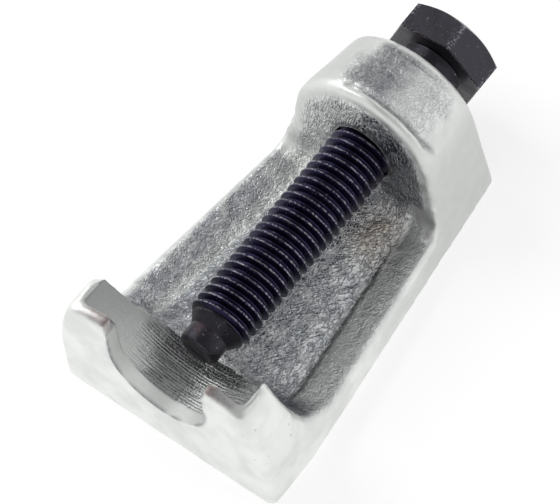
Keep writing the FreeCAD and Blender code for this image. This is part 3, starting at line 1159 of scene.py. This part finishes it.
    def softened(self, at: Places) -> list[tuple[int, Array]]:
        """Finds how the forging's edges are rounded off.

        Args:
            at: where the skin's points lie.

        Returns:
            Steps of relaxing with each point's share in them, in turn: every edge that isn't machined, the
            lip's tips, the horns' tops with the boss's ledges, and the horns' feet in the trough.
        """
        side, forged = at.side, 1 - at.seat
        lip_tips = self.lip(at) * step(at.z, 30, 32) * step(side, 19.5, 17.5)
        horns = step(at.z, 22, 25) * step(at.behind, -3.5, -1) * step(side, 12, 16) * forged
        horn_tips = step(at.z, 30.5, 32) * step(side, 15.5, 17.5) * (at.x < -20)
        ledges = step(np.abs(at.z - 13.4), 3.4, 1.6) * step(side, 11, 13.5)
        ledges = ledges * step(at.x, 17, 19) * step(at.x, 28, 25)
        feet = step(at.behind, -4.5, -2.5) * step(at.behind, 5, 3) * step(side, 17.5, 19.5)
        feet = feet * step(at.z, 4.5, 7.5) * step(at.z, 21, 16) * forged
        horn_tops = most(horns, horn_tips, ledges)
        return [(self.edge_steps, forged), (self.lip_steps, lip_tips), (self.horn_steps, horn_tops),
                (self.foot_steps, feet)]

    def relief(self, points: Array, inside: Array) -> Array:
        """How far forging lifts or sinks the skin at each point.

        Args:
            points: places in millimetres.
            inside: 1 in the trough and 0 on the outer faces.

        Returns:
            Millimetres along the normal.
        """
        x, y, z = points.T
        hammered = self.hammer_depth * fractal(points, self.hammer_size, Noise.HAMMER) - self.hammer_sink
        scale = self.scale_depth * fractal(points, self.scale_size, Noise.SCALE)
        flow = self.flow_depth * fractal(points, self.flow_size, Noise.FLOW, 2.0, self.flow_stretch)
        rough = scale + flow - self.scale_sink
        lift = hammered + inside * (rough - hammered)

        wander = self.groove_wander * fractal(points, self.groove_wander_size, Noise.WANDER, 2.0)
        radius, turn = self.about_screw(points)
        turn = turn + 12 * wander
        arc = step(turn, -62, -50) * step(turn, 24, 12) * (radius > self.crown_from)
        from_groove = x + wander - self.groove_x
        lift -= self.crown_drop * arc * step(from_groove, -0.6, 0.4) * step(x, 36.5, 31)
        lift -= self.groove_depth * arc * bell(from_groove - 0.6, 0.6)
        crack = step(y, -9, -7) * step(y, 4, 2) * (z > self.screw_height)
        return lift - self.crack_depth * crack * bell(x - self.crack_x + 0.6 * wander, 0.35)

    def build(self) -> bpy.types.Object:
        """Makes the forging's visible piece.

        Returns:
            The piece.
        """
        mesh = self.skin()
        at = self.measure(mesh)
        areas = self.areas(at)
        points = at.points
        for steps, share in self.softened(at):
            points = relax(points, at.ends, steps, share)
        normals = relax(at.normals, at.ends, 2)
        normals /= np.linalg.norm(normals, axis=1)[:, None]
        lift = self.relief(points, areas.inside) * (1 - at.seat)
        low, high = (np.array(corner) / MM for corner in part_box(self.node))
        points = np.clip(points + normals * lift[:, None], low, high)
        mesh.vertices.foreach_set("co", (points * MM).astype(np.float32).ravel())
        mesh.update()
        for name, values in vars(areas).items():
            layer = mesh.attributes.new(name, "FLOAT", "POINT")
            layer.data.foreach_set("value", values.astype(np.float32))
        return new_piece("zinc_plated_forging", mesh, self.finish.build(self), self.sharp_from,
                         Body.FORGING, self.node)


# ---- The forcing screw ----

Radius = float | Callable[[float], float]


@dataclass
class ForcingScrew:
    """The screw: nose, rolled thread, plain shank and hexagon head, turned about one axis."""

    node: str = "forcing_screw"
    axis_height: float = 18.2
    pitch: float = 25.4 / 13
    major_radius: float = 6.35
    root_radius: float = 5.30
    crest_share: float = 0.16
    shank_radius: float = 6.05
    nose_radius: float = 4.1
    nose_length: float = 3.8
    nose_chamfer: float = 0.8
    dish_depth: float = 0.35
    dish: tuple[Span, ...] = ((0.25, 1.0), (0.42, 0.8), (0.58, 0.2), (0.70, 0.0))
    shoulder_length: float = 3.1
    run_out: float = 3.0
    thread_end: float = 38.3
    head_height: float = 6.7
    across_flats: float = 19.0
    head_turn: float = 110.0
    head_face_radius: float = 9.0
    head_chamfer: float = 30.0
    head_rear_chamfer: float = 0.25
    head_fillet: float = 0.7
    fillet_middle: Span = (0.3, 0.25)
    segments: int = 108
    rows_per_pitch: int = 12
    sharp_from: float = 32.0
    finish: BlackenedSteel = field(default_factory=BlackenedSteel)

    @property
    def tip_x(self) -> float:
        """Where the nose's tip stands."""
        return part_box(self.node)[0].x / MM

    @property
    def thread_start(self) -> float:
        """Where the nose ends and the thread begins."""
        return self.tip_x + self.nose_length

    @property
    def head_end(self) -> float:
        """Where the head's flat top stands."""
        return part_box(self.node)[1].x / MM

    @property
    def head_x(self) -> float:
        """Where the head begins."""
        return self.head_end - self.head_height

    def ring(self, x: float, radius: Radius) -> list[Vector]:
        """Places points round the axis.

        Args:
            x: where the ring stands along the axis.
            radius: a number, or a function of the turn.

        Returns:
            The points, in metres.
        """
        made = []
        for k in range(self.segments):
            turn = math.tau * k / self.segments
            r = radius(turn) if callable(radius) else radius
            made.append(Vector((x, r * math.cos(turn), self.axis_height + r * math.sin(turn))) * MM)
        return made

    def bridge(self, made: bmesh.types.BMesh, first: list, second: list) -> None:
        """Joins two rings of points with a band of faces.

        Args:
            made: what the faces are added to.
            first: one ring.
            second: the other ring.
        """
        for k in range(self.segments):
            j = (k + 1) % self.segments
            made.faces.new((first[k], second[k], second[j], first[j]))

    def sharpen(self, made: bmesh.types.BMesh, ring: list) -> None:
        """Makes a ring's edges hard."""
        for k in range(self.segments):
            made.edges.get((ring[k], ring[(k + 1) % self.segments])).smooth = False

    def lathe(self, made: bmesh.types.BMesh, profile: list[tuple[float, Radius]], sharp: set[int]
              ) -> list[list]:
        """Turns a profile about the axis.

        Args:
            made: what the surface is added to.
            profile: x and radius of each ring, the radius a number or a function of the turn.
            sharp: which rings are hard edges.

        Returns:
            The points of each ring.
        """
        rings = [[made.verts.new(p) for p in self.ring(x, r)] for x, r in profile]
        for first, second in zip(rings, rings[1:]):
            self.bridge(made, first, second)
        for index in sharp:
            self.sharpen(made, rings[index])
        return rings

    def nose(self, made: bmesh.types.BMesh) -> None:
        """Adds the nose: a dished end, a chamfer and a short plain pin.

        Args:
            made: what the surface is added to.
        """
        start, radius, chamfer = self.tip_x, self.nose_radius, self.nose_chamfer
        end = [(start + depth * self.dish_depth, share * radius) for share, depth in self.dish]
        rings = self.lathe(made, [
            *end,
            (start, radius - chamfer),
            (start + 0.35 * chamfer, radius - 0.35 * chamfer),
            (start + chamfer, radius),
            (self.thread_start, radius),
        ], {4, 7})
        made.faces.new(rings[0])

    def hexagon(self, inset: float = 0.0) -> Callable[[float], float]:
        """Makes the outline of the head's hexagon.

        Args:
            inset: how much smaller it is on all sides.

        Returns:
            Its radius as a function of the turn.
        """
        def radius(turn: float) -> float:
            """Radius at this turn."""
            local = math.fmod(turn - math.radians(self.head_turn) + 2 * math.tau, math.tau / 6)
            return (self.across_flats / 2 - inset) / math.cos(local - math.tau / 12)
        return radius

    def head(self, made: bmesh.types.BMesh) -> None:
        """Adds the shank's end and the head, from the fillet under it to its chamfered flat top.

        Args:
            made: what the surface is added to.
        """
        start, fillet, hexagon = self.head_x, self.head_fillet, self.hexagon()
        back, rise = self.fillet_middle
        rings = self.lathe(made, [
            (self.thread_end, self.shank_radius),
            (start - fillet, self.shank_radius),
            (start - back * fillet, self.shank_radius + rise * fillet),
            (start, self.shank_radius + fillet),
            (start, self.hexagon(self.head_rear_chamfer)),
            (start + self.head_rear_chamfer, hexagon),
        ], {3, 4, 5})
        slope = math.tan(math.radians(self.head_chamfer))
        rim = []
        for k, p in enumerate(self.ring(0.0, hexagon)):
            drop = (hexagon(math.tau * k / self.segments) - self.head_face_radius) * slope
            rim.append(made.verts.new(((self.head_end - drop) * MM, p.y, p.z)))
        top = [made.verts.new(p) for p in self.ring(self.head_end, self.head_face_radius)]
        for first, second in ((rings[-1], rim), (rim, top)):
            self.bridge(made, first, second)
            self.sharpen(made, second)
        made.faces.new(top)

    def thread_tree(self, sizes: dict[str, object]) -> Tree:
        """Node tree that winds a thread with a cone at its start and a run-out at its end.

        The grid's rows follow the helix, so each crest is one clean line of edges, and its first and
        last rows are held on flat ends.

        Args:
            sizes: the tree's inputs in order, by name, each with the value that it will have.

        Returns:
            The node tree.
        """
        tree = bpy.data.node_groups.new("rolled_thread", "GeometryNodeTree")
        tree.interface.new_socket("Geometry", in_out="OUTPUT", socket_type="NodeSocketGeometry")
        kinds = {float: "NodeSocketFloat", int: "NodeSocketInt"}
        for name, value in sizes.items():
            kind = kinds.get(type(value), "NodeSocketMaterial")
            tree.interface.new_socket(name, in_out="INPUT", socket_type=kind)
        given = [Wire(tree, socket) for socket in add(tree, "NodeGroupInput").outputs]
        start, end, pitch, major, root, shank, nose = given[:7]
        cone_length, run_out, height, segments, rows, finish = given[7:len(sizes)]

        pitches = calculate("CEIL", (end - start) / pitch + 2.0)
        columns = segments + 1.0
        grid = wire(tree, "GeometryNodeMeshGrid", "Mesh",
                    {"Vertices X": pitches * rows + 1.0, "Vertices Y": columns})
        index = wire(tree, "GeometryNodeInputIndex", 0)
        row = calculate("FLOOR", (index + 0.5) / columns)
        turn = (index - row * columns) / segments
        phase = row / rows

        along = (phase + turn - 1.0) * pitch
        x = calculate("MINIMUM", calculate("MAXIMUM", start + along, start), end)
        from_crest = calculate("ABSOLUTE", calculate("FRACT", phase) - 0.5) * 2.0
        depth = wire(tree, "ShaderNodeMapRange", "Result",
                     {"Value": from_crest, "From Min": self.crest_share, "From Max": 1.0 - self.crest_share})
        thread = major - depth * (major - root)
        cone = nose + (x - start) * ((major - nose) / cone_length)
        fade = calculate("MINIMUM", calculate("MAXIMUM", (x - (end - run_out)) / run_out, 0.0), 1.0)
        radius = calculate("MINIMUM", cone, blend(fade, thread, shank))

        angle = turn * math.tau
        y = radius * calculate("COSINE", angle)
        z = height + radius * calculate("SINE", angle)
        place = wire(tree, "ShaderNodeCombineXYZ", 0, {"X": x, "Y": y, "Z": z})
        place = wire(tree, "ShaderNodeVectorMath", 0, {0: place, "Scale": MM}, operation="SCALE")
        moved = wire(tree, "GeometryNodeSetPosition", 0, {"Geometry": grid, "Position": place})
        merged = wire(tree, "GeometryNodeMergeByDistance", 0, {"Geometry": moved, "Distance": WELD})
        real = wire(tree, "GeometryNodeRealizeInstances", 0, {"Geometry": merged})
        dressed = wire(tree, "GeometryNodeSetMaterial", 0, {"Geometry": real, "Material": finish})
        add(tree, "NodeGroupOutput", {"Geometry": dressed})
        return tree

    def thread(self, finish: bpy.types.Material) -> bpy.types.Mesh:
        """Winds the thread between the nose and the shank.

        Args:
            finish: its material.

        Returns:
            A plain mesh.
        """
        names = ("thread_start", "thread_end", "pitch", "major_radius", "root_radius", "shank_radius",
                 "nose_radius", "shoulder_length", "run_out", "axis_height", "segments", "rows_per_pitch")
        sizes = {name: getattr(self, name) for name in names} | {"finish": finish}
        holder = link("thread", bpy.data.meshes.new("thread"))
        modifier = holder.modifiers.new("thread", "NODES")
        modifier.node_group = self.thread_tree(sizes)
        for item in modifier.node_group.interface.items_tree:
            if item.in_out == "INPUT":
                modifier[item.identifier] = sizes[item.name]
        return evaluated(holder)

    def build(self) -> bpy.types.Object:
        """Makes the screw's visible piece.

        Returns:
            The piece.
        """
        finish = self.finish.build(self)
        whole = bmesh.new()
        self.nose(whole)
        self.head(whole)
        whole.from_mesh(self.thread(finish))
        bmesh.ops.remove_doubles(whole, verts=whole.verts, dist=2 * WELD)
        bmesh.ops.dissolve_degenerate(whole, edges=whole.edges, dist=WELD / 2)
        bmesh.ops.recalc_face_normals(whole, faces=whole.faces)
        for face in whole.faces:
            face.material_index = 0
        LOG.info("screw: %d open edges", sum(len(edge.link_faces) != 2 for edge in whole.edges))
        return new_piece("blackened_forcing_screw", to_mesh(whole, "blackened_forcing_screw"), finish,
                         self.sharp_from, Body.SCREW, self.node)


# ---- The studio ----

@dataclass(frozen=True)
class Softbox:
    """One square soft light that points at the tool; power is in watts."""

    name: str
    azimuth: float
    elevation: float
    size: float
    power: float
    distance: float = 900.0


@dataclass
class Studio:
    """Camera, paper sheet and soft light."""

    aim: Triple = (-2.04, 1.03, 15.0)
    distance: float = 921.4
    azimuth: float = -44.45
    elevation: float = 62.105
    roll: float = -9.455
    lens: float = 320.12
    sensor: float = 36.0
    white: str = "#ffffff"
    sees_from: float = 50.0
    sees_to: float = 50000.0
    sheet_size: float = 6000.0
    sheet_z: float = -0.02
    horizon_glow: float = 1.05
    overhead_glow: float = 0.40
    glow_heights: Span = (0.05, 0.88)
    softboxes: tuple[Softbox, ...] = (
        Softbox("left_softbox", azimuth=184.0, elevation=40.0, size=600.0, power=2.5),
        Softbox("right_softbox", azimuth=28.0, elevation=47.0, size=350.0, power=0.45),
    )

    def direction(self, azimuth: float, elevation: float) -> Vector:
        """Unit vector from the tool towards an azimuth and elevation; azimuth 0 is towards -Y."""
        a, e = math.radians(azimuth), math.radians(elevation)
        return Vector((math.sin(a) * math.cos(e), -math.cos(a) * math.cos(e), math.sin(e)))

    def stand(self, made: bpy.types.Object, place: Vector, back: Vector, roll: float = 0.0) -> None:
        """Stands a camera or light at a place in millimetres, with its back towards a direction."""
        turn = (-back).to_track_quat("-Z", "Y").to_matrix() @ Matrix.Rotation(math.radians(roll), 3, "Z")
        made.matrix_world = Matrix.Translation(place * MM) @ turn.to_4x4()

    def camera(self) -> None:
        """Makes the camera."""
        data = bpy.data.cameras.new("camera")
        data.lens = self.lens
        data.sensor_width = self.sensor
        data.clip_start = self.sees_from * MM
        data.clip_end = self.sees_to * MM
        camera = link("camera", data)
        back = self.direction(self.azimuth, self.elevation)
        self.stand(camera, Vector(self.aim) + back * self.distance, back, self.roll)
        bpy.context.scene.camera = camera

    def sheet(self) -> None:
        """Makes the paper sheet under the tool."""
        half = self.sheet_size / 2
        corners = ((-half, -half), (half, -half), (half, half), (-half, half))
        made = bmesh.new()
        made.faces.new([made.verts.new(Vector((x, y, self.sheet_z)) * MM) for x, y in corners])
        mesh = to_mesh(made, "paper_sheet")
        mesh.materials.append(WhiteSheet().build())
        link("paper_sheet", mesh)

    def light(self, box: Softbox) -> None:
        """Makes one soft light.

        Args:
            box: its place, size and power.
        """
        data = bpy.data.lights.new(box.name, "AREA")
        data.shape = "SQUARE"
        data.size = box.size * MM
        data.energy = box.power
        back = self.direction(box.azimuth, box.elevation)
        self.stand(link(box.name, data), back * box.distance, back)

    def surroundings(self) -> None:
        """Makes the tent: bright at the horizon and dimmer overhead."""
        world = bpy.data.worlds.new("tent")
        world.use_nodes = True
        tree = world.node_tree
        _, _, up = axes(wire(tree, "ShaderNodeTexCoord", "Generated"))
        glow = ramp(up, *self.glow_heights, self.horizon_glow, self.overhead_glow)
        background = tree.nodes["Background"]
        background.inputs["Color"].default_value = linear(self.white)
        tree.links.new(glow.socket, background.inputs["Strength"])
        bpy.context.scene.world = world

    def build(self) -> None:
        """Makes the whole studio."""
        self.camera()
        self.sheet()
        self.surroundings()
        for box in self.softboxes:
            self.light(box)
        bpy.context.scene.view_settings.view_transform = "Standard"


def main() -> None:
    """Builds the studio and the two pieces."""
    logging.basicConfig(level=logging.INFO, format="%(message)s")
    Studio().build()
    Forging().build()
    ForcingScrew().build()


if __name__ == "__main__":
    main()
